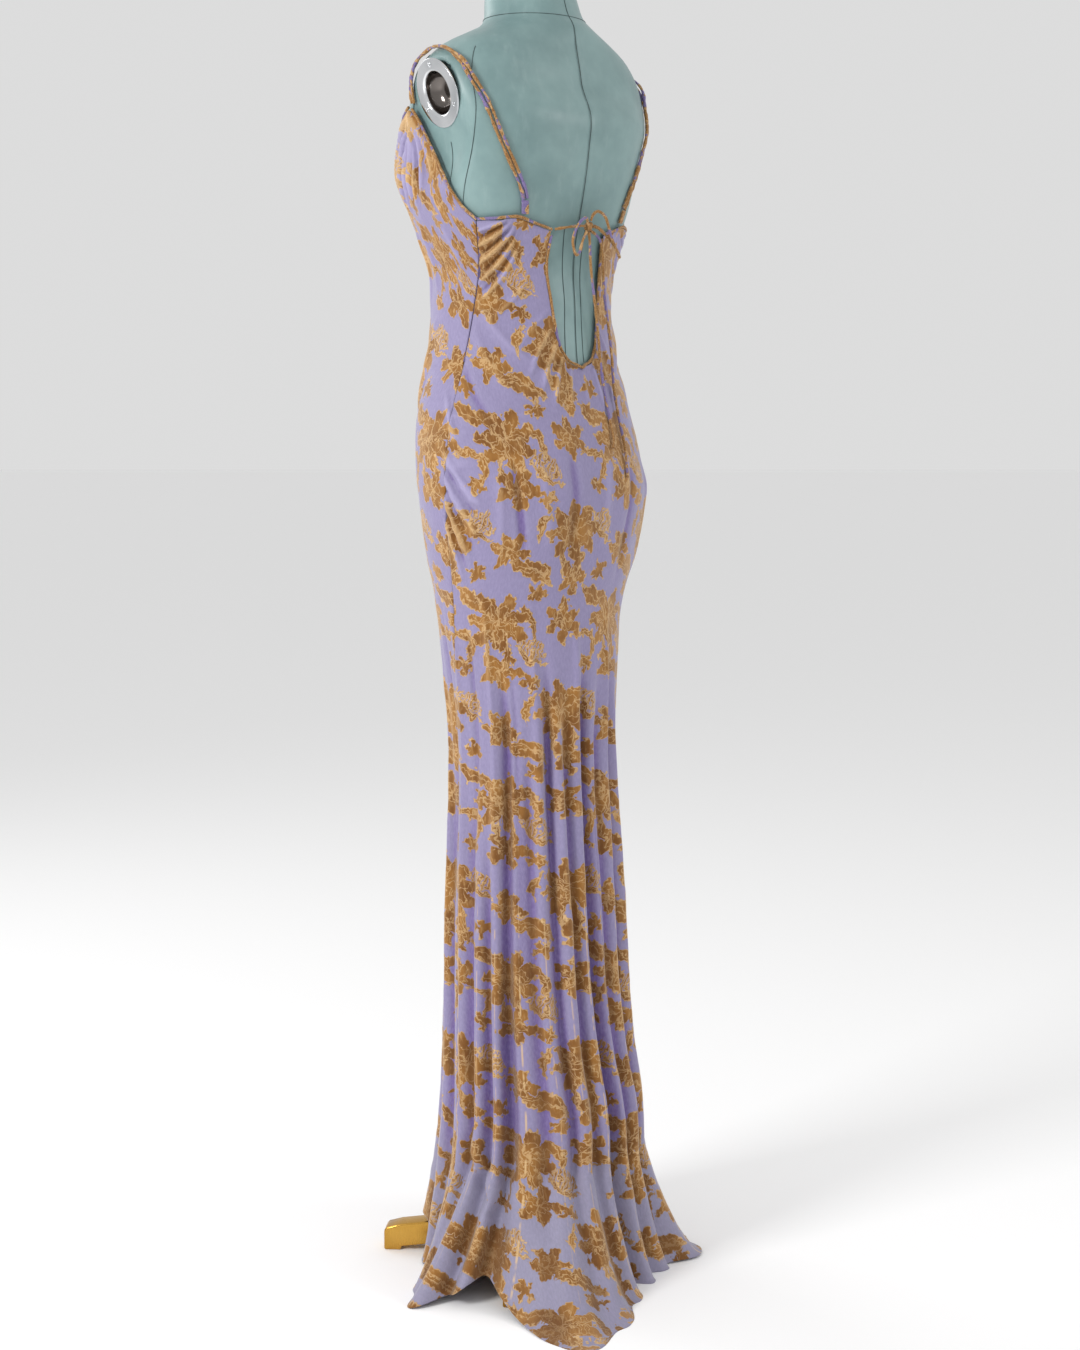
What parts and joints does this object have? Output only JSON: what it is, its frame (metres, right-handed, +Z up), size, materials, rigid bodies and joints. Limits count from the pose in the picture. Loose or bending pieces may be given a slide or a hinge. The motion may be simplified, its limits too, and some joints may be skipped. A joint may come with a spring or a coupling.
{
  "type": "maxi dress on a limbless dress form",
  "caption": "Bias-cut maxi dress with a keyhole back, tied bow, paired cord straps and trailing hem, worn on a limbless dress form with a pole and cross base.",
  "frame": {"origin": "on the floor under the middle of the whole part", "axes": "+Z up along the stand's pole, -Y towards the front of the dress, +X towards the wearer's left"},
  "size_m": [0.4308, 0.4476, 1.7315],
  "materials": {
    "dress_cloth": "lavender chiffon with burnt-orange velvet flowers, the pile left standing on a sheer ground",
    "lining_cloth": "plain violet lining with a slight sheen",
    "form_leather": "grey-green leather with a soft gloss and fine grain, stitched seams",
    "arm_plate_metal": "polished",
    "stand_brass": "polished, with faint brushing",
    "zip_tape": "matte concealed zip tape in the seam"
  },
  "bodies": {
    "root": {"front_panel": "dress_cloth", "back_panel": "dress_cloth", "lining_skirt": "lining_cloth", "side_zip": "zip_tape", "armhole_binding_left": "dress_cloth", "neckline_binding": "dress_cloth", "armhole_binding_right": "dress_cloth", "back_top_binding_left": "dress_cloth", "back_top_binding_right": "dress_cloth", "keyhole_binding": "dress_cloth", "strap_tab_left": "dress_cloth", "strap_tab_right": "dress_cloth", "strap_left_a": "dress_cloth", "strap_left_b": "dress_cloth", "strap_right_a": "dress_cloth", "strap_right_b": "dress_cloth", "tie_run_left": "dress_cloth", "tie_run_right": "dress_cloth", "tie_loop_left": "dress_cloth", "tie_loop_right": "dress_cloth", "tie_tail_left": "dress_cloth", "tie_tail_right": "dress_cloth", "tie_knot": "dress_cloth", "form_torso": "form_leather", "neck_cap": "form_leather", "arm_plate_left": "arm_plate_metal", "arm_plate_right": "arm_plate_metal", "pole": "stand_brass", "base_hub": "stand_brass", "leg_front_left": "stand_brass", "leg_back_left": "stand_brass", "leg_back_right": "stand_brass", "leg_front_right": "stand_brass"}
  },
  "joints": []
}
